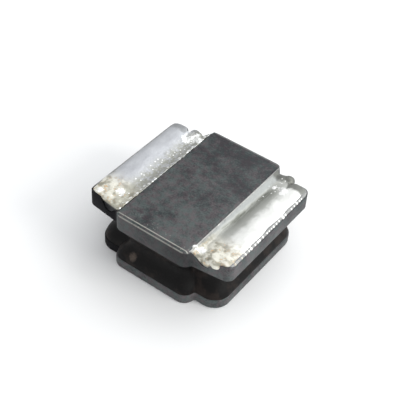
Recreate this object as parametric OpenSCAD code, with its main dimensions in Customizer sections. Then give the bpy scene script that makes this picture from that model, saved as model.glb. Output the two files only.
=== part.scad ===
// Shielded SMD power inductor, stood on its plain flange with the terminals up.
// A ferrite drum core carries a layered winding of enamelled wire. Its two ends
// rise over the back of the upper flange, lie in a groove across each terminal
// and are soldered there. A resin filled with magnetic powder closes the winding.
// X runs across the two terminals, Y along them and Z up. Sizes in millimetres.

/* [Drum core] */
// Height of the core from the plain face to the middle strip
core_h = 1.68; // [1.66:0.02:2.2]
// Diameter of the centre post
post_d = 1.80; // [1.7:0.02:1.84]
// Width of the terminal flange across both terminals
flange_w = 4.00; // [3.9:0.05:4.3]
// Length of the terminal flange along the middle strip
flange_l = 3.76; // [3.7:0.02:4]
// Thickness of the terminal flange at the middle strip
flange_t = 0.48; // [0.45:0.01:0.6]
// Length of the terminal flange at the ears beside the wire notches
ear_l = 3.22; // [3.16:0.02:3.34]
// Length that the terminal flange would have by its front edges beside the strip
front_l = 3.44; // [3.36:0.02:3.5]
// Distance from the strip's side to the start of those front edges
front_step = 0.12; // [0.08:0.01:0.2]
// Share of an ear's width that the radius of its outer corner takes
ear_round = 0.46; // [0.2:0.02:0.6]
// Width of the raised middle strip
strip_w = 1.88; // [1.7:0.02:1.96]
// Radius of the strip's corners
strip_r = 0.22; // [0.05:0.01:0.24]
// Width of the small bevel along both ends of the strip
lip_w = 0.07; // [0.03:0.01:0.1]
// Drop of that bevel
lip_drop = 0.035; // [0.01:0.005:0.05]

/* [Plain flange] */
// Width of the plain flange
plain_w = 3.55; // [3.5:0.01:3.7]
// Length of the plain flange along its middle
plain_l = 3.77; // [3.72:0.01:3.9]
// Thickness of the plain flange
plain_t = 0.25; // [0.2:0.01:0.35]
// Width of its longer middle part
plain_mid_w = 2.12; // [2:0.02:2.2]
// Length of its corner lobes
lobe_l = 3.20; // [3.14:0.01:3.24]
// Radius of the corners of that middle part
plain_mid_r = 0.28; // [0.1:0.01:0.28]
// Radius of the corner lobes
lobe_r = 0.42; // [0.2:0.02:0.44]

/* [Terminals] */
// Drop of the solder's outer land below the strip
land_drop = 0.03; // [0.01:0.005:0.06]
// Thickness of the plated electrode
plate_t = 0.02; // [0.015:0.005:0.03]
// Thickness of the solder on the outer land
land_solder_t = 0.02; // [0.015:0.005:0.03]
// Thickness of the solder over the wire
bead_t = 0.025; // [0.015:0.005:0.04]
// Distance from the middle of the wire to the start of the outer land
land_run = 0.24; // [0.2:0.01:0.28]
// Width by which the wire notch is wider than the wire, on each side
notch_gap = 0.075; // [0.05:0.005:0.09]
// Distance that the wire notches reach in behind the ears
notch_depth = 0.08; // [0.05:0.01:0.1]
// Clearance of the solder lump at each end of the wire to its notch's sides
lump_gap = 0.015; // [0.005:0.005:0.03]
// Height of the lumps' middle over the middle of the wire
lump_lift = 0.015; // [0.005:0.005:0.02]

/* [Winding] */
// Outer diameter of the enamelled wire
wire_d = 0.15; // [0.12:0.01:0.155]
// Layers of wire
layers = 4; // [3:1:4]
// Least clearance of the wound turns to each flange
coil_gap = 0.02; // [0.01:0.01:0.06]
// Bend radius of the leads, to the middle of the wire
bend_r = 0.12; // [0.1:0.01:0.14]

/* [Resin] */
// Setback of the resin from the rim of the plain flange
resin_setback = 0.02; // [0.01:0.01:0.04]
// Further setback of the resin where it meets the terminal flange
resin_lean = 0.05; // [0.02:0.01:0.08]
// Depth of the hollow round the waist of the resin
resin_hollow = 0.19; // [0.05:0.01:0.2]

/* [Hidden] */
$fn = 96;
corner_steps = 6;         // chords in each rounded corner of an outline
waist_steps = 10;         // heights at which the resin's outline is drawn
rise_steps = 8;           // chords in the rise of the solder to its land
past = 1;                 // how far a cutting shape runs past what it cuts
fit_gap = 0.005;          // clearance between the wire and what it lies on
edge_gap = 0.02;          // bare margin of the flange outside the plating
strip_gap = 0.05;         // bare margin of the bevel beside the strip
lead_root = 0.2;          // length of the lead that lies against its own turn
kink_r = 0.05;            // radius of the inner corners of both outlines
ear_in_round = 0.115;     // share of an ear's width taken by its corner at the notch
edge_drop = 0.04;         // fall of the outer land to the side wall
edge_run = 0.06;          // width of that fall
seat_half = 0.075;        // half the flat floor of the wire groove
groove_slope = 0.05;      // set-out of an ear's side from the notch floor

wire_r = wire_d / 2;
window_floor = plain_t;
window_top = core_h - flange_t;
window_h = window_top - window_floor;
coil_z = window_floor + window_h / 2;
layer_pitch = wire_d * cos(30);
layer_turns = floor((window_h - 2 * coil_gap) / wire_d);

// Radius of a layer's turns, and how far its end turns lie from the coil's middle.
// Every second layer has one turn fewer.
function layer_r(k) = post_d / 2 + wire_r + k * layer_pitch;
function layer_reach(k) = (layer_turns - k % 2 - 1) * wire_r;

outer_turn_r = layer_r(layers - 1);
lead_x = outer_turn_r;
lead_z = coil_z + layer_reach(layers - 1);
notch_y = ear_l / 2 - notch_depth;
rise_y = notch_y + fit_gap + wire_r;
front_x = strip_w / 2 + front_step;
front_fall = (front_l - ear_l) / 2 / (flange_w / 2 - front_x);
front_y = front_l / 2 - front_fall * (lead_x - front_x);
cut_y = front_y - wire_r;
land_z = core_h - land_drop - land_solder_t - plate_t;
groove_wire_z = core_h - land_drop - wire_d - wire_r / 2;
groove_floor = groove_wire_z - wire_r - fit_gap - plate_t;
notch_half = wire_r + notch_gap;
lump_r = notch_half - lump_gap;
ear_w = flange_w / 2 - lead_x - notch_half - groove_slope;

function unit(v) = v / norm(v);
function turned(v, a) = [v.x * cos(a) - v.y * sin(a), v.x * sin(a) + v.y * cos(a)];
function smooth(t) = t * t * (3 - 2 * t);

function reversed(v) = [for (i = [len(v) - 1 : -1 : 0]) v[i]];

// Corners [x, y, radius] of a whole outline from a quarter at the back and one at
// the front, both drawn from the middle out to the side with X and Y positive
function whole(rear, front) =
    concat(rear,
           [for (c = reversed(front)) [c[0], -c[1], c[2]]],
           [for (c = front) [-c[0], -c[1], c[2]]],
           [for (c = reversed(rear)) [-c[0], c[1], c[2]]]);

// Points of the arc that rounds corner b between its neighbours a and c
function corner_arc(a, b, c) =
    let (p = [b[0], b[1]],
         u = unit([a[0], a[1]] - p),
         v = unit([c[0], c[1]] - p),
         half = acos(u * v) / 2,
         centre = p + unit(u + v) * b[2] / sin(half),
         start = p + u * b[2] / tan(half) - centre,
         turn = (180 - 2 * half) * sign(cross(v, u)))
    [for (i = [0 : corner_steps]) centre + turned(start, turn * i / corner_steps)];

function rounded(corners) =
    let (n = len(corners))
    [for (i = [0 : n - 1])
        each corner_arc(corners[(i + n - 1) % n], corners[i], corners[(i + 1) % n])];

// Back quarter of the terminal flange, with the notch that a lead rises through,
// drawn in by the margin m
function rear_quarter(m) = [
    [strip_w / 2 - m, flange_l / 2 - m, strip_r],
    [lead_x - notch_half - m, notch_y - m, kink_r],
    [lead_x + notch_half + m, notch_y - m, kink_r],
    [lead_x + notch_half + groove_slope + m, ear_l / 2 - m, ear_w * ear_in_round],
    [flange_w / 2 - m, ear_l / 2 - m, ear_w * ear_round]];

// Front quarter of the terminal flange: a slanting edge from the strip to the ear
function front_quarter(m) = [
    [strip_w / 2 - m, flange_l / 2 - m, strip_r],
    [front_x - m, front_l / 2 - m, kink_r],
    [flange_w / 2 - m, ear_l / 2 - m, ear_w * ear_round]];

function flange_outline(m) = rounded(whole(rear_quarter(m), front_quarter(m)));

// Either quarter of the plain flange, drawn in by the margin m
function plain_quarter(m) = [
    [plain_mid_w / 2 - m, plain_l / 2 - m, plain_mid_r],
    [plain_mid_w / 2 + kink_r - m, lobe_l / 2 - m, kink_r],
    [plain_w / 2 - m, lobe_l / 2 - m, lobe_r]];

function plain_outline(m) = rounded(whole(plain_quarter(m), plain_quarter(m)));

// Top of the ferrite in the section across the terminals, from the strip's edge
// out to the side wall
ferrite_top = [
    [strip_w / 2, core_h],
    [lead_x - seat_half, groove_floor],
    [lead_x + seat_half, groove_floor],
    [lead_x + land_run, land_z],
    [flange_w / 2 - edge_run, land_z],
    [flange_w / 2, land_z - edge_drop]];

// Top of the plating: the ferrite's top between its bare margins, one plate up
plate_foot = concat(
    [let (d = ferrite_top[1] - ferrite_top[0]) ferrite_top[0] + d * strip_gap / d.x],
    [for (i = [1 : 4]) ferrite_top[i]],
    [let (d = ferrite_top[5] - ferrite_top[4])
        ferrite_top[5] - d * edge_gap / d.x]);
plate_top = [for (p = plate_foot) p + [0, plate_t]];

// Top of the solder: thin down the bevel, just over the wire and up to the land
bead_z = groove_wire_z + wire_r + bead_t;
solder_top = concat(
    [plate_top[0] + [0, land_solder_t / 2]],
    [for (i = [0 : rise_steps])
        let (t = i / rise_steps)
        [lead_x + (land_run + wire_r) * t,
         bead_z + (land_z + plate_t + land_solder_t - bead_z) * smooth(t)]],
    [plate_top[4] + [0, land_solder_t], plate_top[5] + [0, land_solder_t / 2]]);

// A section across the terminals, run along Y through the whole flange
module along(points) {
    translate([0, flange_l / 2 + past, 0]) rotate([90, 0, 0])
        linear_extrude(flange_l + 2 * past) polygon(points);
}

// Terminal flange: its outline, its stepped section and the bevelled strip ends
module terminal_flange() {
    section = concat([[-flange_w / 2, window_top]],
                     [for (p = reversed(ferrite_top)) [-p.x, p.y]],
                     ferrite_top,
                     [[flange_w / 2, window_top]]);
    end_y = flange_l / 2;
    ends = [[-end_y, window_top], [end_y, window_top], [end_y, core_h - lip_drop],
            [end_y - lip_w, core_h], [-end_y + lip_w, core_h],
            [-end_y, core_h - lip_drop]];
    intersection() {
        translate([0, 0, window_top]) linear_extrude(flange_t)
            polygon(flange_outline(0));
        along(section);
        translate([-flange_w / 2 - past, 0, 0]) rotate([90, 0, 90])
            linear_extrude(flange_w + 2 * past) polygon(ends);
    }
}

module drum_core() {
    color([0.30, 0.31, 0.32]) union() {
        linear_extrude(plain_t) polygon(plain_outline(0));
        cylinder(h = window_top + flange_t / 4, d = post_d);
        terminal_flange();
    }
}

// Half section of the wound coil: hexagonally packed turns, solid between them
module coil_section() {
    upper = concat([[post_d / 2, layer_reach(0)]],
                   [for (k = [0 : layers - 1]) [layer_r(k), layer_reach(k)]]);
    translate([0, coil_z]) {
        polygon(concat(upper, reversed([for (p = upper) [p.x, -p.y]])));
        for (k = [0 : layers - 1])
            for (z = [-layer_reach(k) : wire_d : layer_reach(k) + fit_gap])
                translate([layer_r(k), z]) circle(d = wire_d);
    }
}

// A quarter bend of wire about an axis along X, from angle a0 in the YZ plane
module bend(y, z, a0) {
    translate([lead_x, y, z]) rotate([90, 0, 90]) rotate([0, 0, a0])
        rotate_extrude(angle = 90) translate([bend_r, 0]) circle(d = wire_d);
}

// One lead: tangent off the outer turn, up over the notch and along the groove
module lead() {
    turn_y = rise_y - bend_r;
    translate([lead_x, lead_root, lead_z]) rotate([-90, 0, 0])
        cylinder(h = turn_y - lead_root, d = wire_d);
    bend(turn_y, lead_z + bend_r, -90);
    translate([lead_x, rise_y, lead_z + bend_r])
        cylinder(h = groove_wire_z - lead_z - 2 * bend_r, d = wire_d);
    bend(turn_y, groove_wire_z - bend_r, 0);
    translate([lead_x, -cut_y, groove_wire_z]) rotate([-90, 0, 0])
        cylinder(h = cut_y + turn_y, d = wire_d);
}

module winding() {
    color([0.72, 0.36, 0.16]) union() {
        rotate_extrude() coil_section();
        lead();
        mirror([1, 0, 0]) lead();
    }
}

// How far the resin stands in from the rim at the share t of the window's height
function waist(t) = resin_setback + resin_lean * smooth(t) + resin_hollow * pow(sin(180 * t), 2);

// The resin's outer form: the plain flange's outline lofted through the window
module waist_loft() {
    rings = [for (k = [0 : waist_steps]) plain_outline(waist(k / waist_steps))];
    n = len(rings[0]);
    points = [for (k = [0 : waist_steps]) for (p = rings[k])
        [p.x, p.y, window_floor + window_h * k / waist_steps]];
    walls = [for (k = [0 : waist_steps - 1]) for (i = [0 : n - 1])
        let (a = k * n + i, b = k * n + (i + 1) % n)
        each [[a, b, b + n], [a, b + n, a + n]]];
    polyhedron(points, concat(walls, [reversed([for (i = [0 : n - 1]) i])],
                              [[for (i = [0 : n - 1]) waist_steps * n + i]]));
}

module resin_coating() {
    color([0.16, 0.13, 0.12]) difference() {
        waist_loft();
        rotate_extrude() {
            translate([0, window_floor - past]) square([outer_turn_r, window_h + 2 * past]);
            coil_section();
        }
        lead();
        mirror([1, 0, 0]) lead();
    }
}

// Plan of a terminal's metal, drawn in from the flange's edge
module terminal_plan(m) {
    translate([0, 0, window_top]) linear_extrude(flange_t + past)
        polygon(flange_outline(m));
}

module electrode() {
    intersection() {
        along(concat(plate_foot, reversed(plate_top)));
        terminal_plan(edge_gap);
    }
}

// Plating and flange below it, as one block that the solder lies on
module solder_bed() {
    outer = plate_top[len(plate_top) - 1];
    intersection() {
        along(concat(plate_top, [[outer.x, window_top], [plate_top[0].x, window_top]]));
        terminal_plan(edge_gap);
    }
}

// A solder lump round the wire at the distance y along the groove
module lump(y) {
    translate([lead_x, y, groove_wire_z + lump_lift]) rotate([90, -90, 0])
        sphere(lump_r);
}

module solder() {
    difference() {
        union() {
            intersection() {
                along(concat(plate_top, reversed(solder_top)));
                terminal_plan(edge_gap);
            }
            lump(notch_y + fit_gap);
            lump(-cut_y - fit_gap);
        }
        lead();
        solder_bed();
        terminal_flange();
    }
}

module electrode_left() { color([0.78, 0.78, 0.76]) mirror([1, 0, 0]) electrode(); }
module electrode_right() { color([0.78, 0.78, 0.76]) electrode(); }
module solder_left() { color([0.86, 0.86, 0.84]) mirror([1, 0, 0]) solder(); }
module solder_right() { color([0.86, 0.86, 0.84]) solder(); }

drum_core();
winding();
resin_coating();
electrode_left();
electrode_right();
solder_left();
solder_right();
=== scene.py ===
import random
from math import acos, cos, pi, radians, sin, tan

import bmesh
import bpy
from mathutils import Matrix, Vector, noise


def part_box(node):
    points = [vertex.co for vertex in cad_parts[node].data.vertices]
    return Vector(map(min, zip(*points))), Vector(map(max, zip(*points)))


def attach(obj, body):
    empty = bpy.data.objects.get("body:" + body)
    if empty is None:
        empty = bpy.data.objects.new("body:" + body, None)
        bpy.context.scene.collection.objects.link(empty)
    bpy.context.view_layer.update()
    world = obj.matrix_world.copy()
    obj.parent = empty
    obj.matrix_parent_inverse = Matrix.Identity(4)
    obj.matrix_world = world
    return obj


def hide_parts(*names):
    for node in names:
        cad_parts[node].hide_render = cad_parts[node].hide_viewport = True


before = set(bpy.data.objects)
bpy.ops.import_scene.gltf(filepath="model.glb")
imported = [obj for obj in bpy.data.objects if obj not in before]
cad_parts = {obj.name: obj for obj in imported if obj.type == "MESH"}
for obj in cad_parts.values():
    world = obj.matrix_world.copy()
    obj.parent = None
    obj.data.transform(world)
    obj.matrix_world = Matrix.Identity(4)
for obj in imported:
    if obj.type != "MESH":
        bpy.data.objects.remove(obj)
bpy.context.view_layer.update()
mm = 0.001    # pieces are drawn in millimetres and brought to metres when they are finished
scene = bpy.context.scene
print("frame loaded, nodes:", ", ".join(sorted(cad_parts)))


class Wire:
    # a shader socket that can be used in an expression

    def __init__(self, nodes, socket):
        self.nodes = nodes
        self.socket = socket

    def calc(self, operation, first, second):
        return self.nodes.node("ShaderNodeMath", {"operation": operation}, {0: first, 1: second})

    def __add__(self, other):
        return self.calc("ADD", self, other)

    def __radd__(self, other):
        return self.calc("ADD", other, self)

    def __sub__(self, other):
        return self.calc("SUBTRACT", self, other)

    def __rsub__(self, other):
        return self.calc("SUBTRACT", other, self)

    def __mul__(self, other):
        return self.calc("MULTIPLY", self, other)

    def __rmul__(self, other):
        return self.calc("MULTIPLY", other, self)

    def clamped(self):
        return self.calc("MINIMUM", self.calc("MAXIMUM", self, 0.0), 1.0)


class NodeSet:
    # the nodes of one material or world

    def __init__(self, owner):
        owner.use_nodes = True
        self.owner = owner
        self.tree = owner.node_tree
        self.tree.nodes.clear()

    def node(self, kind, settings=None, sockets=None, out=0):
        made = self.tree.nodes.new(kind)
        for key, value in (settings or {}).items():
            setattr(made, key, value)
        for key, value in (sockets or {}).items():
            if isinstance(value, Wire):
                self.tree.links.new(value.socket, made.inputs[key])
            else:
                made.inputs[key].default_value = value
        return Wire(self, made.outputs[out]) if len(made.outputs) else None


class Finish(NodeSet):
    # one material; its places are the object's own, in millimetres

    def __init__(self, name):
        super().__init__(bpy.data.materials.new(name))
        place = self.node("ShaderNodeTexCoord", out="Object")
        self.place = self.node("ShaderNodeVectorMath", {"operation": "SCALE"},
                               {0: place, "Scale": 1 / mm})

    def axis(self, name):
        return self.node("ShaderNodeSeparateXYZ", {}, {0: self.place}, name)

    def size(self, value):
        return self.node("ShaderNodeMath", {"operation": "ABSOLUTE"}, {0: value})

    def span(self, value, low, high, toLow=0.0, toHigh=1.0):
        # a smooth step as value goes from low to high
        return self.node("ShaderNodeMapRange", {"interpolation_type": "SMOOTHSTEP"},
                         {"Value": value, "From Min": low, "From Max": high,
                          "To Min": toLow, "To Max": toHigh})

    def below(self, value, low, high):
        # 1 under low, falling to 0 at high
        return self.span(value, low, high, 1.0, 0.0)

    def near(self, value, middle, width, flat=0.35):
        # 1 within a flat share of the width on both sides of middle, 0 beyond the width
        return self.below(self.size(value - middle), flat * width, width)

    def grain(self, size, detail=3.0, rough=0.6, stretch=(1, 1, 1), shift=0.0):
        # noise in patches about size millimetres across
        place = self.node("ShaderNodeMapping", {}, {"Vector": self.place, "Scale": stretch,
                                                    "Location": (shift, shift, shift)})
        return self.node("ShaderNodeTexNoise", {}, {"Vector": place, "Scale": 1 / size,
                                                    "Detail": detail, "Roughness": rough})

    def cells(self, spacing):
        # distance to the nearest of many scattered points, as a share of their spacing
        return self.node("ShaderNodeTexVoronoi", {"feature": "F1"},
                         {"Vector": self.place, "Scale": 1 / spacing}, "Distance")

    def tint(self, factor, first, second):
        return self.node("ShaderNodeMix", {"data_type": "RGBA"},
                         {0: factor, 6: first, 7: second}, 2)

    def relief(self, height, depth, strength, under=None):
        # depth in millimetres for a height from 0 to 1
        sockets = {"Height": height, "Distance": depth * mm, "Strength": strength}
        if under:
            sockets["Normal"] = under
        return self.node("ShaderNodeBump", {}, sockets)

    def shader(self, sockets):
        return self.node("ShaderNodeBsdfPrincipled", {}, sockets)

    def done(self, shader):
        self.node("ShaderNodeOutputMaterial", {}, {"Surface": shader})
        return self.owner


# An outline is made of corners [x, y, radius] in millimetres, from its rear and its front quarter

def wholeOutline(rear, front):
    return (rear + [[x, -y, r] for x, y, r in front[::-1]] + [[-x, -y, r] for x, y, r in front]
            + [[-x, y, r] for x, y, r in rear[::-1]])


def roundedOutline(corners, steps):
    points = []
    for i, (x, y, r) in enumerate(corners):
        corner = Vector((x, y))
        a = (Vector(corners[i - 1][:2]) - corner).normalized()
        b = (Vector(corners[(i + 1) % len(corners)][:2]) - corner).normalized()
        half = acos(max(-1.0, min(1.0, a.dot(b)))) / 2
        centre = corner + (a + b).normalized() * r / sin(half)
        first = corner + a * r / tan(half) - centre
        turn = (pi - 2 * half) * (1 if b.cross(a) > 0 else -1)
        for k in range(steps + 1):
            c, s = cos(turn * k / steps), sin(turn * k / steps)
            points.append(centre + Vector((first.x * c - first.y * s, first.x * s + first.y * c)))
    return points


def prism(points, low, high, lay="flat"):
    # a closed prism over an outline; lay says how the outline's plane lies
    place = {"flat": lambda p, h: (p[0], p[1], h), "across": lambda p, h: (p[0], h, p[1]),
             "length": lambda p, h: (h, p[0], p[1])}[lay]
    made = bmesh.new()
    rings = [[made.verts.new(place(p, h)) for p in points] for h in (low, high)]
    made.faces.new(rings[0])
    made.faces.new(rings[1][::-1])
    for i in range(len(points)):
        j = (i + 1) % len(points)
        made.faces.new((rings[0][i], rings[1][i], rings[1][j], rings[0][j]))
    bmesh.ops.recalc_face_normals(made, faces=made.faces)
    return made


def loft(rings):
    # a closed skin over rings of points, from the lowest to the highest
    made = bmesh.new()
    rows = [[made.verts.new(p) for p in ring] for ring in rings]
    count = len(rows[0])
    for low, high in zip(rows, rows[1:]):
        for i in range(count):
            j = (i + 1) % count
            made.faces.new((low[i], low[j], high[j], high[i]))
    made.faces.new(rows[0][::-1])
    made.faces.new(rows[-1])
    bmesh.ops.recalc_face_normals(made, faces=made.faces)
    return made


def revolved(profile, sides):
    # a closed body round the Z axis from its (radius, height) points
    return loft([[(r * cos(2 * pi * k / sides), r * sin(2 * pi * k / sides), z)
                  for k in range(sides)] for r, z in profile])


def tube(path, radius, sides):
    # a round rod along a path that keeps its distance from the middle
    side = Vector((1, 0, 0))
    rings = []
    for i, point in enumerate(path):
        ahead = (path[min(i + 1, len(path) - 1)] - path[max(i - 1, 0)]).normalized()
        up = ahead.cross(side).normalized()
        turns = [2 * pi * k / sides for k in range(sides)]
        rings.append([point + radius * (side * cos(a) + up * sin(a)) for a in turns])
    return loft(rings)


def toObject(name, made):
    mesh = bpy.data.meshes.new(name)
    made.to_mesh(mesh)
    made.free()
    piece = bpy.data.objects.new(name, mesh)
    scene.collection.objects.link(piece)
    return piece


def applyModifiers(piece):
    bpy.context.view_layer.update()
    depsgraph = bpy.context.evaluated_depsgraph_get()
    old = piece.data
    piece.data = bpy.data.meshes.new_from_object(piece.evaluated_get(depsgraph))
    piece.modifiers.clear()
    bpy.data.meshes.remove(old)


def drop(piece):
    mesh = piece.data
    bpy.data.objects.remove(piece)
    bpy.data.meshes.remove(mesh)


def keepInside(piece, cutter):
    # keeps what both have in common
    step = piece.modifiers.new("keep", "BOOLEAN")
    step.operation = "INTERSECT"
    step.object = cutter
    step.solver = "EXACT"
    applyModifiers(piece)
    drop(cutter)


def joined(name, pieces):
    made = bmesh.new()
    for piece in pieces:
        made.from_mesh(piece.data)
        drop(piece)
    return toObject(name, made)


def softenEdges(piece, width, segments, angle):
    step = piece.modifiers.new("edges", "BEVEL")
    step.width = width
    step.segments = segments
    step.limit_method = "ANGLE"
    step.angle_limit = radians(angle)
    applyModifiers(piece)


def smoothShade(piece, angle=None):
    piece.data.shade_smooth()
    if angle is None:
        return
    made = bmesh.new()
    made.from_mesh(piece.data)
    for edge in made.edges:
        edge.smooth = len(edge.link_faces) == 2 and edge.calc_face_angle(0.0) < radians(angle)
    made.to_mesh(piece.data)
    made.free()


def finishPiece(piece, material, slot, *nodes):
    # to metres, dressed, and riding on the object's one body
    piece.data.transform(Matrix.Scale(mm, 4))
    piece.data.materials.clear()
    piece.data.materials.append(material)
    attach(piece, "root")
    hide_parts(*nodes)
    print(piece.name, "built:", len(piece.data.polygons), "faces")


# Camera, room, lamps and floor

view = {"turn": 33.716, "height": 43.317, "roll": 4.172, "distance": 23.462,
        "slide": (-0.0695, -0.9405), "lens": 87.39, "sensor": 36, "clip": (0.001, 5)}

turn, height, roll = (radians(view[key]) for key in ("turn", "height", "roll"))
back = Vector((sin(turn) * cos(height), -cos(turn) * cos(height), sin(height)))
level = Vector((cos(turn), sin(turn), 0))
upward = back.cross(level)
right = cos(roll) * level + sin(roll) * upward
up = cos(roll) * upward - sin(roll) * level
stand = view["distance"] * back - view["slide"][0] * right - view["slide"][1] * up
cameraData = bpy.data.cameras.new("camera")
cameraData.lens = view["lens"]
cameraData.sensor_width = view["sensor"]
cameraData.clip_start, cameraData.clip_end = view["clip"]
cameraObject = bpy.data.objects.new("camera", cameraData)
cameraTurn = Matrix((right, up, back)).transposed().to_4x4()
cameraObject.matrix_world = Matrix.Translation(stand * mm) @ cameraTurn
scene.collection.objects.link(cameraObject)
scene.camera = cameraObject

studio = {
    # the room is brighter on one side
    "air": {"dim": 0.40, "bright": 1.06, "toward": (0.7, 0.35, 0.55),
            "colour": (0.97, 0.985, 1.0, 1)},
    "floor": {"colour": (0.95, 0.95, 0.95, 1), "half": 200, "thick": 4.0, "grain": 2.0},
    "aim": (0, 0, 1),
    # place and size in millimetres, power in watts
    "lamps": {
        "overhead": {"place": (12, 42, 46), "size": (62, 40), "power": 0.0120,
                     "colour": (0.97, 0.99, 1.0)},
        "key": {"place": (52, 8, 34), "size": (22, 22), "power": 0.0140,
                "colour": (1.0, 0.99, 0.96)},
    },
}

room = NodeSet(bpy.data.worlds.new("room"))
sideways = room.node("ShaderNodeVectorMath", {"operation": "DOT_PRODUCT"},
                     {0: room.node("ShaderNodeTexCoord", out="Generated"),
                      1: Vector(studio["air"]["toward"]).normalized()}, "Value")
brightness = room.node("ShaderNodeMapRange", {},
                       {"Value": sideways, "From Min": -1, "To Min": studio["air"]["dim"],
                        "To Max": studio["air"]["bright"]})
background = room.node("ShaderNodeBackground", {},
                       {"Color": studio["air"]["colour"], "Strength": brightness})
room.node("ShaderNodeOutputWorld", {}, {"Surface": background})
scene.world = room.owner
scene.view_settings.view_transform = "Standard"

for name, lamp in studio["lamps"].items():
    lampData = bpy.data.lights.new(name, "AREA")
    lampData.shape = "RECTANGLE"
    lampData.size, lampData.size_y = (side * mm for side in lamp["size"])
    lampData.energy = lamp["power"]
    lampData.color = lamp["colour"]
    lampObject = bpy.data.objects.new(name, lampData)
    place = Vector(lamp["place"])
    lampObject.location = place * mm
    lampObject.rotation_euler = (place - Vector(studio["aim"])).to_track_quat("Z", "Y").to_euler()
    scene.collection.objects.link(lampObject)

floorHalf = studio["floor"]["half"]
floorOutline = [(x * floorHalf, y * floorHalf) for x, y in ((-1, -1), (1, -1), (1, 1), (-1, 1))]
floor = toObject("floor", prism(floorOutline, -studio["floor"]["thick"], 0.0))
floor.data.transform(Matrix.Scale(mm, 4))
paper = Finish("paper")
floor.data.materials.append(paper.done(paper.shader({
    "Base Color": studio["floor"]["colour"], "Roughness": 0.9, "Specular IOR Level": 0.1,
    "Normal": paper.relief(paper.grain(studio["floor"]["grain"], 2.0, 0.5), 0.02, 0.2)})))
print("camera, lamps and floor are in place")


# Drum core: the plain flange below, the post, and the stepped terminal flange above

core = {
    "flangeWidth": 4.00, "flangeLength": 3.76, "flangeThick": 0.48,
    "stripWidth": 1.88, "stripRound": 0.22, "lipWidth": 0.07, "lipDrop": 0.035,
    "earLength": 3.22, "earRound": 0.46, "earInRound": 0.115,
    "frontLength": 3.44, "frontStep": 0.12,
    "plainWidth": 3.55, "plainLength": 3.77, "plainThick": 0.25,
    "plainMidWidth": 2.12, "plainMidRound": 0.28, "lobeLength": 3.20, "lobeRound": 0.42,
    "postDiameter": 1.80, "postSides": 48, "postSink": 0.02,
    "kinkRound": 0.05, "cornerSteps": 12, "edgeRound": 0.022, "plainEdgeRound": 0.035,
    "grooveX": 1.3647, "grooveFloor": 1.3625, "grooveHalf": 0.075,
    "notchHalf": 0.15, "notchSlope": 0.05, "notchDepth": 0.08,
    "landRun": 0.24, "landHeight": 1.61, "edgeRun": 0.06, "edgeDrop": 0.04,
    "past": 0.1, "farPast": 1,    # how far a cutting shape runs past what it cuts
    "look": {
        # dark and light of each tone, the last one a painted shade, then the colour of the flecks
        # and of the painted highlight on the bevel edges
        "cool": [(0.003, 0.010, 0.012, 1), (0.070, 0.088, 0.086, 1)],
        "warm": [(0.010, 0.005, 0.010, 1), (0.088, 0.076, 0.080, 1)],
        "paintedShadeTones": [(0.002, 0.002, 0.003, 1), (0.009, 0.008, 0.010, 1)],
        "flecksAndHighlight": (0.40, 0.39, 0.35, 1),
        "toneRange": (0.37, 0.63), "hueRange": (0.38, 0.62), "highlightRange": (0.22, 0.55),
        # where shade is painted: on the walls under the left terminal, and on the strip's front
        # wall
        "topDepth": (0.08, 0.04), "paintedShadeX": (-1.16, -0.98),
        "stripFrontY": (-1.74, -1.66), "stripFrontZ": (1.0, 1.15), "stripFrontX": (-0.6, 1.1),
        "lipLine": 0.016, "endLine": 0.013, "endInset": 0.004,
        "fleckSpacing": 0.075, "fleckSize": (0.08, 0.2), "fleckY": (-1.78, -1.30)},
}
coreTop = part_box("drum_core")[1].z / mm
windowTop = coreTop - core["flangeThick"]
notchY = core["earLength"] / 2 - core["notchDepth"]
earWide = core["flangeWidth"] / 2 - core["grooveX"] - core["notchHalf"] - core["notchSlope"]


def rearQuarter(margin=0.0):
    stripX, endY = core["stripWidth"] / 2, core["flangeLength"] / 2
    notchLow, notchHigh = core["grooveX"] - core["notchHalf"], core["grooveX"] + core["notchHalf"]
    earY = core["earLength"] / 2 - margin
    return [[stripX - margin, endY - margin, core["stripRound"]],
            [notchLow - margin, notchY - margin, core["kinkRound"]],
            [notchHigh + margin, notchY - margin, core["kinkRound"]],
            [notchHigh + core["notchSlope"] + margin, earY, earWide * core["earInRound"]],
            [core["flangeWidth"] / 2 - margin, earY, earWide * core["earRound"]]]


def frontQuarter(margin=0.0):
    stripX, endY = core["stripWidth"] / 2, core["flangeLength"] / 2
    return [[stripX - margin, endY - margin, core["stripRound"]],
            [stripX + core["frontStep"] - margin, core["frontLength"] / 2 - margin,
             core["kinkRound"]],
            [core["flangeWidth"] / 2 - margin, core["earLength"] / 2 - margin,
             earWide * core["earRound"]]]


def plainOutline(margin, steps):
    midX, lobeY = core["plainMidWidth"] / 2, core["lobeLength"] / 2 - margin
    quarter = [[midX - margin, core["plainLength"] / 2 - margin, core["plainMidRound"]],
               [midX + core["kinkRound"] - margin, lobeY, core["kinkRound"]],
               [core["plainWidth"] / 2 - margin, lobeY, core["lobeRound"]]]
    return roundedOutline(wholeOutline(quarter, quarter), steps)


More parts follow.
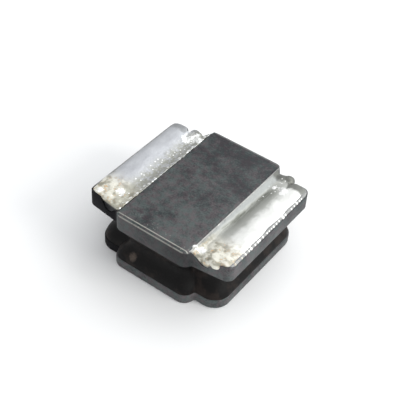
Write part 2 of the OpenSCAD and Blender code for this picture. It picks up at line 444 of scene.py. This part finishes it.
def buildCore():
    steps, past, farPast = core["cornerSteps"], core["past"], core["farPast"]
    half, endY = core["flangeWidth"] / 2, core["flangeLength"] / 2
    grooveX, landZ, lipZ = core["grooveX"], core["landHeight"], coreTop - core["lipDrop"]
    outline = roundedOutline(wholeOutline(rearQuarter(), frontQuarter()), steps)
    flange = toObject("flange", prism(outline, windowTop, coreTop + past))
    # top of the ferrite across the terminals, from the strip's edge out to the side wall
    ledge = [(core["stripWidth"] / 2, coreTop),
             (grooveX - core["grooveHalf"], core["grooveFloor"]),
             (grooveX + core["grooveHalf"], core["grooveFloor"]),
             (grooveX + core["landRun"], landZ),
             (half - core["edgeRun"], landZ), (half, landZ - core["edgeDrop"])]
    outside = [(half + past, ledge[-1][1] - core["edgeDrop"]), (half + past, windowTop - past)]
    rightHalf = ledge + outside
    section = [(-x, z) for x, z in rightHalf[::-1]] + rightHalf
    sectionY = endY + farPast
    keepInside(flange, toObject("section", prism(section, -sectionY, sectionY, "across")))
    # along the strip, with a bevel at each end
    ends = [(endY - core["lipWidth"], coreTop), (endY, lipZ), (endY + past, lipZ),
            (endY + past, windowTop - 2 * past)]
    ends = [(-y, z) for y, z in ends[::-1]] + ends
    endsX = half + farPast
    keepInside(flange, toObject("ends", prism(ends, -endsX, endsX, "length")))
    softenEdges(flange, core["edgeRound"], segments=2, angle=24)
    plain = toObject("plain", prism(plainOutline(0.0, steps), 0.0, core["plainThick"]))
    softenEdges(plain, core["plainEdgeRound"], segments=3, angle=40)
    post = [(core["postDiameter"] / 2, z)
            for z in (core["plainThick"] - core["postSink"], windowTop + core["postSink"])]
    piece = joined("drumCore", [flange, plain, toObject("post", revolved(post, core["postSides"]))])
    smoothShade(piece, angle=34)
    return piece


ferriteLook = core["look"]
ferrite = Finish("ferrite")
ferriteX, ferriteY, ferriteZ = (ferrite.axis(name) for name in "XYZ")
speck = ferrite.grain(0.04, rough=0.7)
cloud = ferrite.grain(0.5, shift=3.0)
blotch = ferrite.grain(0.15, shift=7.0)
ferriteTone = ferrite.span(speck * 0.35 + cloud * 0.4 + blotch * 0.25 - 0.035 * ferriteY,
                           *ferriteLook["toneRange"])
ferriteHue = ferrite.span(ferrite.grain(0.14, shift=9.0), *ferriteLook["hueRange"])
coolFerrite = ferrite.tint(ferriteTone, *ferriteLook["cool"])
warmFerrite = ferrite.tint(ferriteTone, *ferriteLook["warm"])
topOnly = ferrite.span(ferriteZ, *(coreTop - depth for depth in ferriteLook["topDepth"]))
# painted shade: the walls under the left terminal and the strip's front wall are mixed towards a
# near-black shader
paintedShadeLeftWalls = ferrite.below(ferriteX, *ferriteLook["paintedShadeX"]) * (1 - topOnly)
paintedShadeStripFront = (ferrite.below(ferriteY, *ferriteLook["stripFrontY"]) * (1 - topOnly)
              * ferrite.span(ferriteZ, *ferriteLook["stripFrontZ"])
              * ferrite.span(ferriteX, *ferriteLook["stripFrontX"], 0.22, 0.60))
# painted highlight: both edges of the bevel at each end of the strip are painted bright, most at
# the front
endDistance, endY = ferrite.size(ferriteY), core["flangeLength"] / 2
bevelHighlight = (ferrite.near(endDistance, endY - core["lipWidth"], ferriteLook["lipLine"])
            + 0.7 * ferrite.near(endDistance, endY - ferriteLook["endInset"],
                                 ferriteLook["endLine"]))
fleckDistance = ferrite.cells(ferriteLook["fleckSpacing"])
flecks = (ferrite.span(fleckDistance, *ferriteLook["fleckSize"], 0.5, 0.0)
          * ferrite.below(ferriteY, *ferriteLook["fleckY"]))
# pale flecks on the top, and the painted highlight along the bevel edges
flecksAndHighlight = (topOnly * flecks + bevelHighlight * topOnly * ferrite.span(ferriteY, -0.5, 0.5, 0.9, 0.25)
        * ferrite.span(ferrite.grain(0.12, rough=0.7, shift=2.0), *ferriteLook["highlightRange"]))
ferriteRelief = ferrite.relief(ferrite.grain(0.05, detail=4.0, shift=1.0), 0.008, 0.6,
                               ferrite.relief(cloud, 0.03, 0.3))
pressed = ferrite.shader({
    "Base Color": ferrite.tint(flecksAndHighlight.clamped(), ferrite.tint(ferriteHue, coolFerrite, warmFerrite),
                               ferriteLook["flecksAndHighlight"]),
    "Roughness": 0.40 + 0.18 * blotch,
    "IOR": 1.5,
    "Normal": ferriteRelief})
# a near-black shader that stands in for painted shade
paintedShadeShader = ferrite.shader({
    "Base Color": ferrite.tint(blotch, *ferriteLook["paintedShadeTones"]),
    "Roughness": 0.62 + 0.2 * speck,
    "IOR": 1.2,
    "Normal": ferriteRelief})
paintedShadeShare = (0.95 * paintedShadeLeftWalls + paintedShadeStripFront).clamped()
ferriteMaterial = ferrite.done(ferrite.node("ShaderNodeMixShader", {},
                                            {0: paintedShadeShare, 1: pressed, 2: paintedShadeShader}))
finishPiece(buildCore(), ferriteMaterial, "ferrite", "drum_core")


# Resin: a skin lofted from the plain flange's outline through the window, hollow at its waist

resin = {
    "setback": 0.02, "lean": 0.05, "hollow": 0.19, "wave": 0.012, "waveSize": 0.55,
    "rings": 40, "cornerSteps": 14, "spacing": 0.05,
    "dark": (0.0025, 0.002, 0.002, 1), "brown": (0.016, 0.011, 0.009, 1),
    "brownRange": (0.56, 0.72),
    # one painted highlight on the front: across, up, and the squares of its inner and outer radius
    "highlightColour": (0.10, 0.078, 0.064, 1), "spot": (-0.545, 0.455), "spotRange": (0.008, 0.026),
}


def waist(t):
    # how far the resin stands in at the share t of the window's height
    lean = resin["lean"] * t * t * (3 - 2 * t)
    return resin["setback"] + lean + resin["hollow"] * sin(pi * t) ** 2


def buildResin():
    first = plainOutline(resin["setback"], resin["cornerSteps"])
    rings = []
    for k in range(resin["rings"] + 1):
        t = k / resin["rings"]
        z = core["plainThick"] + (windowTop - core["plainThick"]) * t
        outline = plainOutline(waist(t), resin["cornerSteps"])
        ring = []
        for i, point in enumerate(outline):
            following, firstNext = (line[(i + 1) % len(line)] for line in (outline, first))
            parts = max(1, round((firstNext - first[i]).length / resin["spacing"]))
            for part in range(parts):
                p = point.lerp(following, part / parts)
                place = Vector((p.x, p.y, z))
                swell = noise.noise(place / resin["waveSize"]) * resin["wave"] * sin(pi * t)
                ring.append(place + Vector((p.x, p.y, 0)).normalized() * swell)
        rings.append(ring)
    piece = toObject("resinCoating", loft(rings))
    smoothShade(piece, angle=50)
    return piece


varnish = Finish("magneticResin")
flow = varnish.grain(0.5, shift=5.0)
dust = varnish.grain(0.04)
brown = varnish.span(flow + dust * 0.15, *resin["brownRange"])
# painted highlight on the resin's front
spotX, spotZ = (varnish.axis(name) - middle for name, middle in zip("XZ", resin["spot"]))
highlightShare = (varnish.below(spotX * spotX + spotZ * spotZ + 0.02 * dust, *resin["spotRange"])
             * varnish.below(varnish.axis("Y"), -0.5, 0.0))
resinMaterial = varnish.done(varnish.shader({
    "Base Color": varnish.tint(0.85 * highlightShare, varnish.tint(brown, resin["dark"], resin["brown"]),
                               resin["highlightColour"]),
    "Roughness": 0.46 + 0.2 * dust,
    "IOR": 1.28,
    "Normal": varnish.relief(dust, 0.006, 0.5, varnish.relief(flow, 0.04, 0.4))}))
finishPiece(buildResin(), resinMaterial, "magnetic_resin", "resin_coating")


# Winding: the layered coil inside the resin and its two leads, which rise over the back

winding = {
    "wire": 0.15, "layers": 4, "turns": 6, "bend": 0.12, "plate": 0.02, "fit": 0.005,
    "riseY": 1.61, "cutY": 1.586, "rootY": 0.2, "leadSides": 20, "coilSides": 96,
    "dark": (0.50, 0.17, 0.05, 1), "light": (0.68, 0.27, 0.10, 1),
}


def buildWinding():
    r = winding["wire"] / 2
    layers = range(winding["layers"])
    middle = (core["plainThick"] + windowTop) / 2
    # every second layer has one turn fewer, and lies in the hollows of the one below
    reach = [(winding["turns"] - k % 2 - 1) * r for k in layers]
    radius = [core["postDiameter"] / 2 + r + k * winding["wire"] * cos(pi / 6) for k in layers]
    inner = core["postDiameter"] / 2 + winding["fit"]
    profile = [(inner, middle - reach[0] - r)]
    profile += [(radius[k], middle - reach[k] - r) for k in layers[:-1]]
    for n in range(winding["turns"] - 1):
        centre = middle - reach[-1] + n * winding["wire"]
        profile += [(radius[-1] + r * cos(a), centre + r * sin(a))
                    for a in (radians(d) for d in range(-80, 81, 20))]
    profile += [(radius[k], middle + reach[k] + r) for k in layers[-2::-1]]
    profile.append((inner, middle + reach[0] + r))
    pieces = [toObject("coil", revolved(profile, winding["coilSides"]))]
    bend, riseY, leadZ = winding["bend"], winding["riseY"], middle + reach[-1]
    wireZ = core["grooveFloor"] + winding["plate"] + winding["fit"] + r
    for side in (-1, 1):
        path = [Vector((0, winding["rootY"], leadZ)), Vector((0, riseY - bend, leadZ))]
        path += [Vector((0, riseY - bend + bend * sin(a), leadZ + bend - bend * cos(a)))
                 for a in (radians(d) for d in range(9, 91, 9))]
        path += [Vector((0, riseY - bend + bend * cos(a), wireZ - bend + bend * sin(a)))
                 for a in (radians(d) for d in range(0, 91, 9))]
        path.append(Vector((0, -winding["cutY"], wireZ)))
        for point in path:
            point.x = side * core["grooveX"]
        pieces.append(toObject("lead", tube(path, r, winding["leadSides"])))
    piece = joined("windingWire", pieces)
    smoothShade(piece, angle=50)
    return piece


enamel = Finish("enamelledWire")
streak = enamel.grain(0.05, 2.0, 0.5, stretch=(1, 0.2, 1))
wireMaterial = enamel.done(enamel.shader({
    "Base Color": enamel.tint(streak, winding["dark"], winding["light"]),
    "Metallic": 1.0,
    "Roughness": 0.25 + 0.2 * streak,
    "Coat Weight": 0.5,
    "Coat Roughness": 0.15,
    "Normal": enamel.relief(streak, 0.003, 0.4)}))
finishPiece(buildWinding(), wireMaterial, "enamelled_wire", "winding")


# Electrodes: the plated layer under the solder, which shows as a fine rim

plate = {"dark": (0.20, 0.20, 0.20, 1), "light": (0.42, 0.42, 0.41, 1),
         "shade": (0.02, 0.02, 0.02, 1), "shadeX": (-1.1, -0.9), "shadeY": (-1.5, -1.3)}

plating = Finish("plating")
wipe = plating.grain(0.12)
shaded = (plating.below(plating.axis("X"), *plate["shadeX"])
          * plating.below(plating.axis("Y"), *plate["shadeY"]))
platingMaterial = plating.done(plating.shader({
    "Base Color": plating.tint(shaded, plating.tint(wipe, plate["dark"], plate["light"]),
                               plate["shade"]),
    "Metallic": 1.0,
    "Roughness": 0.3 + 0.25 * wipe,
    "Normal": plating.relief(plating.grain(0.03, 2.0, 0.5), 0.004, 0.5)}))
for name in ("electrode_left", "electrode_right"):
    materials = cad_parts[name].data.materials
    materials.clear()
    materials.append(platingMaterial)
print("electrodes plated")


# Solder: sheets, beads and lumps melted into one skin on each terminal, then rippled

solder = {
    "voxel": 0.018, "melt": 8, "margin": 0.02, "innerRound": 0.02, "planSteps": 6, "edgeGap": 0.004,
    "sink": 0.07, "lumpSink": 0.45, "beadFlat": 0.8, "leadFlat": 0.9, "seed": 11,
    "beadReach": 1.68, "scallopReach": 1.4,
    # underside of the sheet: from the strip, over the groove's floor, to the land
    "bedStart": (0.05, 0.16), "bedFloor": 1.33, "bedHalf": (0.09, 0.10), "bedFall": 0.03,
    "sheetHalf": 2.2, "planHeights": (1.2, 1.9),
    # size and depth of each ripple
    "ripple": {"slow": (0.34, 0.009), "fast": (0.12, 0.007), "fine": (0.045, 0.003)},
    # how lumpy the skin is where it is calm, then how lumpy it gets, from where to where, at the
    # front end, the back end and the strip
    "calm": 0.25, "lumpy": [(0.5, 0.95, 1.35), (0.7, 1.1, 1.5), (0.9, -1.22, -1.02)],
    "look": {
        # dark and light of the clean tin on each side, and of the residue at the front end
        "left": [(0.48, 0.49, 0.52, 1), (0.68, 0.69, 0.71, 1)],
        "right": [(0.47, 0.475, 0.43, 1), (0.66, 0.665, 0.62, 1)],
        "residue": [(0.42, 0.40, 0.33, 1), (0.80, 0.78, 0.69, 1)],
        "amber": (0.74, 0.50, 0.28, 1), "land": (0.90, 0.90, 0.87, 1),
        "thin": (0.13, 0.135, 0.112, 1), "slopeReflection": (0.28, 0.29, 0.285, 1),
        "stripEdgeHighlight": (0.88, 0.86, 0.80, 1), "crust": (0.36, 0.355, 0.285, 1),
        "rear": (0.14, 0.142, 0.128, 1), "paintedHighlight": (1.0, 1.0, 0.98, 1),
        "shade": (0.015, 0.015, 0.017, 1),
        "frontY": (-1.06, -0.46), "rearY": (1.52, 1.64), "landX": (1.52, 1.76),
        "crustX": (1.22, 1.56), "slopeX": 1.10, "stripEdgeX": (1.000, 1.022), "dotSpacing": 0.11,
        # ragged patches of painted highlight: across, along and radius
        "patches": [(-1.27, 1.33, 0.22), (-1.07, 1.36, 0.12), (-1.36, -1.22, 0.13),
                    (-1.75, -1.50, 0.10), (0.98, -1.56, 0.10), (1.18, -1.51, 0.11),
                    (1.50, 1.18, 0.16), (1.25, 1.18, 0.06)]},
}
# each terminal has:
# a section from the strip out to the side wall (distance from the middle, height),
# lumps (distance, place along the terminal, radius, flatness, drop below the sheet if any),
# rows of beads and scallops (nearest, furthest, smallest, largest, closest and widest apart),
# and the solder round its lead's ends, back and front (place along the terminal, radius, height)
terminals = {
    "solderLeft": {
        "side": -1, "node": "solder_left",
        "section": [(0.985, 1.660), (1.06, 1.638), (1.14, 1.618), (1.24, 1.610), (1.36, 1.618),
                    (1.48, 1.634), (1.60, 1.648), (1.72, 1.655), (1.82, 1.655), (1.90, 1.644),
                    (1.975, 1.608)],
        "lumps": [(1.78, -1.49, 0.07, 0.6), (1.49, -1.53, 0.11, 0.6), (1.24, -1.50, 0.13, 0.6),
                  (1.05, -1.52, 0.06, 0.8), (1.36, -1.19, 0.07, 0.5), (1.24, -1.25, 0.09, 0.5),
                  (1.43, -0.90, 0.035, 0.7), (1.63, -1.25, 0.08, 0.4), (1.31, 1.40, 0.18, 0.2),
                  (1.10, 1.40, 0.12, 0.4), (1.25, 1.54, 0.14, 0.4), (1.39, 0.48, 0.026, 0.9),
                  (1.37, 0.69, 0.030, 0.9), (1.23, 0.66, 0.030, 0.9), (1.18, -0.50, 0.028, 0.9)],
        "beads": (0.992, 1.040, 0.026, 0.042, 0.09, 0.24),
        "leads": [(1.61, 0.150, 1.49), (-1.42, 0.10, 1.48)]},
    "solderRight": {
        "side": 1, "node": "solder_right",
        "section": [(0.985, 1.656), (1.05, 1.634), (1.11, 1.606), (1.17, 1.588), (1.25, 1.592),
                    (1.35, 1.608), (1.46, 1.628), (1.58, 1.643), (1.70, 1.652), (1.80, 1.654),
                    (1.88, 1.642), (1.945, 1.612)],
        "lumps": [(0.99, -1.57, 0.07, 0.8), (1.17, -1.51, 0.09, 0.7), (1.36, -1.54, 0.14, 0.6),
                  (1.56, -1.50, 0.22, 0.4), (1.60, -1.58, 0.14, 0.8, 0.06),
                  (1.74, -1.45, 0.16, 0.3), (1.42, -1.25, 0.24, 0.22), (1.66, -1.10, 0.20, 0.2),
                  (1.30, -1.05, 0.07, 0.4), (1.50, 1.20, 0.08, 0.5), (1.26, 1.18, 0.040, 0.7),
                  (1.30, 0.57, 0.026, 0.8), (1.15, 1.56, 0.15, 0.35), (1.26, 1.57, 0.16, 0.5)],
        "beads": (0.985, 1.005, 0.010, 0.018, 0.16, 0.40),
        "scallops": (1.946, 1.956, 0.036, 0.050, 0.075, 0.165),
        "leads": [(1.64, 0.155, 1.52), (-1.57, 0.14, 1.47)]},
}


def solderPlan(inner, margin):
    # the flange's outline on one side, from the solder's inner edge out
    halves = []
    for strip, root, *rest in (rearQuarter(margin), frontQuarter(margin)):
        t = (inner - strip[0]) / (root[0] - strip[0])
        edge = [inner, strip[1] + (root[1] - strip[1]) * t, solder["innerRound"]]
        halves.append([edge, root] + rest)
    return halves[0] + [[x, -y, r] for x, y, r in halves[1][::-1]]


def ball(x, y, z, radius, flat):
    made = bmesh.new()
    bmesh.ops.create_icosphere(made, subdivisions=3, radius=radius)
    for vert in made.verts:
        vert.co = Vector((x + vert.co.x, y + vert.co.y, z + vert.co.z * flat))
    return toObject("ball", made)


def heightAt(section, x):
    for (a, low), (b, high) in zip(section, section[1:]):
        if x <= b:
            return low + (high - low) * max(0.0, (x - a) / (b - a))
    return section[-1][1]


def beadRow(spec, reach, seed):
    chance = random.Random(seed)
    nearest, furthest, smallest, largest, closest, widest = spec
    beads = []
    y = -reach
    while y < reach:
        radius = chance.uniform(smallest, largest)
        beads.append((chance.uniform(nearest, furthest), y, radius, solder["beadFlat"]))
        y += chance.uniform(closest, widest)
    return beads


def step01(value, low, high):
    t = max(0.0, min(1.0, (value - low) / (high - low)))
    return t * t * (3 - 2 * t)


def coarse(x, y):
    # how lumpy the skin is at a place on the terminal
    ends = zip((-y, y, -x), solder["lumpy"])
    return max([solder["calm"]] + [most * step01(at, low, high) for at, (most, low, high) in ends])


def buildSolder(name, terminal):
    side, section = terminal["side"], terminal["section"]
    grooveX, landLow = core["grooveX"], core["landHeight"] - solder["sink"]
    startX, startZ = solder["bedStart"]
    bed = [(core["stripWidth"] / 2 + startX, core["grooveFloor"] + startZ),
           (grooveX - solder["bedHalf"][0], solder["bedFloor"]),
           (grooveX + solder["bedHalf"][1], solder["bedFloor"]),
           (grooveX + core["landRun"], landLow), (section[-1][0], landLow - solder["bedFall"])]
    sheet = toObject("sheet", prism(bed + section[::-1], -solder["sheetHalf"], solder["sheetHalf"],
                                    "across"))
    outline = roundedOutline(solderPlan(section[0][0], solder["margin"]), solder["planSteps"])
    keepInside(sheet, toObject("plan", prism(outline, *solder["planHeights"])))
    pieces = [sheet] + [ball(grooveX, y, height, radius, solder["leadFlat"])
                        for y, radius, height in terminal["leads"]]
    lumps = terminal["lumps"] + beadRow(terminal["beads"], solder["beadReach"], solder["seed"])
    if "scallops" in terminal:
        lumps += beadRow(terminal["scallops"], solder["scallopReach"], solder["seed"] + 1)
    for x, y, radius, flat, *dropped in lumps:
        z = heightAt(section, x) - solder["lumpSink"] * radius * flat - sum(dropped)
        pieces.append(ball(x, y, z, radius, flat))
    piece = joined(name, pieces)
    melt = piece.modifiers.new("melt", "REMESH")
    melt.mode = "VOXEL"
    melt.voxel_size = solder["voxel"]
    applyModifiers(piece)
    relax = piece.modifiers.new("relax", "SMOOTH")
    relax.iterations = solder["melt"]
    relax.factor = 0.5
    applyModifiers(piece)
    made = bmesh.new()
    made.from_mesh(piece.data)
    made.normal_update()
    moves = []
    for vert in made.verts:
        lumpy = coarse(vert.co.x, vert.co.y)
        share = {"slow": 1.0, "fast": lumpy, "fine": lumpy}
        place = Vector((side * vert.co.x, vert.co.y, vert.co.z))
        moves.append(sum(share[key] * depth * noise.noise(place / size)
                         for key, (size, depth) in solder["ripple"].items()))
    for vert, move in zip(made.verts, moves):
        vert.co += vert.normal * move
        vert.co.z = min(vert.co.z, coreTop - solder["edgeGap"])
        vert.co.x = side * min(vert.co.x, core["flangeWidth"] / 2 - solder["edgeGap"])
    if side < 0:
        bmesh.ops.reverse_faces(made, faces=made.faces)
    made.to_mesh(piece.data)
    made.free()
    smoothShade(piece)
    return piece


tinLook = solder["look"]
tin = Finish("solder")
tinX, tinY = tin.axis("X"), tin.axis("Y")
outward = tin.size(tinX)
onRight = tin.span(tinX, -0.2, 0.2)
onLeft = 1 - onRight
mottle = tin.grain(0.22)
crumb = tin.grain(0.05, shift=2.0)
patch = tin.grain(0.17, 2.0, 0.55, shift=6.0)
brushed = tin.grain(0.05, stretch=(1, 0.12, 1), shift=4.0)
dots = tin.cells(tinLook["dotSpacing"])


def spot(x, y, radius):
    # 1 inside a ragged patch round x, y, and 0 outside it
    area = radius * radius
    reach = (tinX - x) * (tinX - x) + (tinY - y) * (tinY - y) + (patch + crumb - 1.0) * (3.2 * area)
    return tin.below(reach, 0.2 * area, area)


# where the terminal's ends begin
frontEnd = tin.below(tinY + 0.5 * mottle - 0.10 * onLeft, *tinLook["frontY"])
rearEnd = tin.span(tinY + 0.20 * tin.span(outward, 1.42, 1.54) + 0.2 * (patch - 0.5)
                   + 0.10 * onRight * tin.span(outward, 1.50, 1.60, 1.0, 0.3), *tinLook["rearY"])
# clean tin, with a painted highlight on the right outer land, and residue with a few amber rims
clean = tin.tint(0.85 * onRight, tin.tint(mottle, *tinLook["left"]),
                 tin.tint(mottle, *tinLook["right"]))
# painted highlight: the right outer land is tinted near white
clean = tin.tint(tin.span(outward - 0.04 * tinY + 0.3 * mottle, *tinLook["landX"]) * onRight, clean,
                 tinLook["land"])
residue = tin.tint(tin.span(crumb * 0.25 + patch * 0.75, 0.38, 0.60), *tinLook["residue"])
residue = tin.tint(0.8 * tin.near(patch, 0.44, 0.017) * tin.span(mottle, 0.42, 0.50), residue,
                   tinLook["amber"])
# on the right, the slope beside the strip is painted light as a reflection, and the rise next to it
# is painted dark as shade
slopeEdge = outward - tinLook["slopeX"] - 0.05 * tinY - 0.06 * mottle
slopeReflection = tin.below(slopeEdge, -0.05, 0.02) * onRight
thin = (tin.span(slopeEdge, -0.05, 0.03) * tin.below(slopeEdge + 0.25 * (brushed - 0.5), 0.06, 0.38)
        * tin.span(tinY, -1.9, 0.0) * tin.below(tinY, 0.9, 1.4) * onRight
        * tin.span(brushed, 0.35, 0.65, 0.55, 1.0))
crust = (tin.below(outward, *tinLook["crustX"]) * onLeft
         * tin.span(crumb * 0.6 + patch * 0.4, 0.36, 0.56))
# painted highlights: sparks along the left strip's edge and at the right one's back, and ragged
# patches
edgeDots = tin.below(outward, 1.045, 1.095) * tin.below(dots, 0.26, 0.46)
smallDots = tin.below(dots, 0.12, 0.24)
looseDots = tin.below(outward, 1.40, 1.50) * smallDots * tin.span(patch, 0.46, 0.52)
backDots = (tin.span(outward, 1.12, 1.16) * tin.below(outward, 1.34, 1.44)
            * smallDots * tin.span(tinY, 0.5, 0.8))
paintedHighlight = (edgeDots + looseDots) * onLeft + backDots * onRight
for patchSpec in tinLook["patches"]:
    paintedHighlight = paintedHighlight + spot(*patchSpec)
# painted shade on the left terminal's solder at the front opening
under = tin.below(tinY, -1.64, -1.58) * tin.below(tin.axis("Z"), 1.53, 1.60) * onLeft
colour = tin.tint(frontEnd, clean, residue)
for share, name in ((0.92 * thin, "thin"), (0.85 * slopeReflection, "slopeReflection"),
                    # painted highlight along the right strip's edge
                    (0.8 * tin.below(outward, *tinLook["stripEdgeX"]) * onRight, "stripEdgeHighlight"),
                    (0.75 * crust, "crust"), ((0.45 + 0.45 * onRight) * rearEnd, "rear"),
                    (paintedHighlight.clamped(), "paintedHighlight"), (under, "shade")):
    colour = tin.tint(share, colour, tinLook[name])
solderMaterial = tin.done(tin.shader({
    "Base Color": colour,
    "Metallic": 1 - 0.75 * frontEnd * tin.span(patch, 0.35, 0.55) - 0.35 * rearEnd * onRight,
    "Roughness": 0.30 + 0.16 * mottle + 0.12 * crumb + 0.12 * frontEnd,
    "Normal": tin.relief(crumb, 0.007, 0.6, tin.relief(brushed, 0.003, 0.5))}))
for name, terminal in terminals.items():
    finishPiece(buildSolder(name, terminal), solderMaterial, "solder", terminal["node"])


def corners(box):
    return [[float(value) for value in corner] for corner in box]
